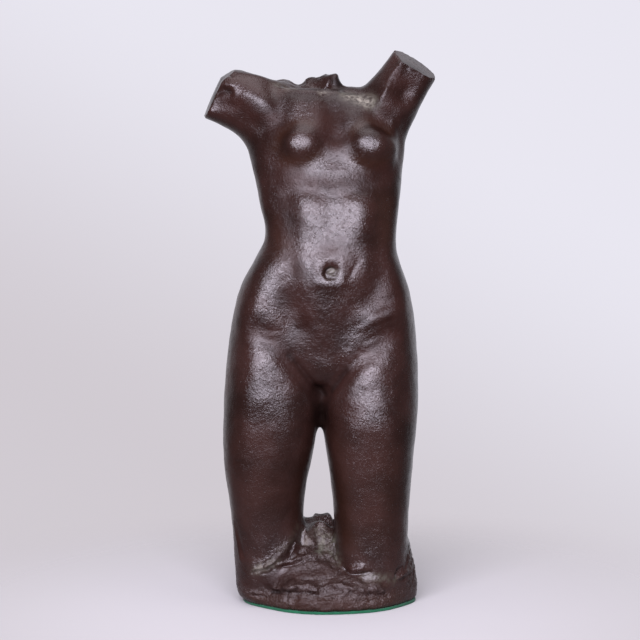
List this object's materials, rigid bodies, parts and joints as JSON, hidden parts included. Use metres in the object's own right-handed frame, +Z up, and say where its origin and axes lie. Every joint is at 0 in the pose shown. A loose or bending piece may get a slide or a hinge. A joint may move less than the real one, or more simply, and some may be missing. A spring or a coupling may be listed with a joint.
{
  "type": "bronze torso sculpture",
  "caption": "Cast bronze figure of a standing female torso, cut off at the neck and upper arms, rising out of a rock base with a green felt pad under it.",
  "frame": {"origin": "middle of the felt pad's underside, on the surface that the sculpture stands on", "axes": "+Z up along the figure; the figure faces -Y and its right side is towards -X"},
  "size_m": [0.1853, 0.1128, 0.4416],
  "materials": {
    "bronze": "cast bronze with a dark brown satin patina",
    "felt": "green wool felt"
  },
  "bodies": {
    "root": {"bronze_torso": "bronze", "felt_pad": "felt"}
  },
  "joints": []
}
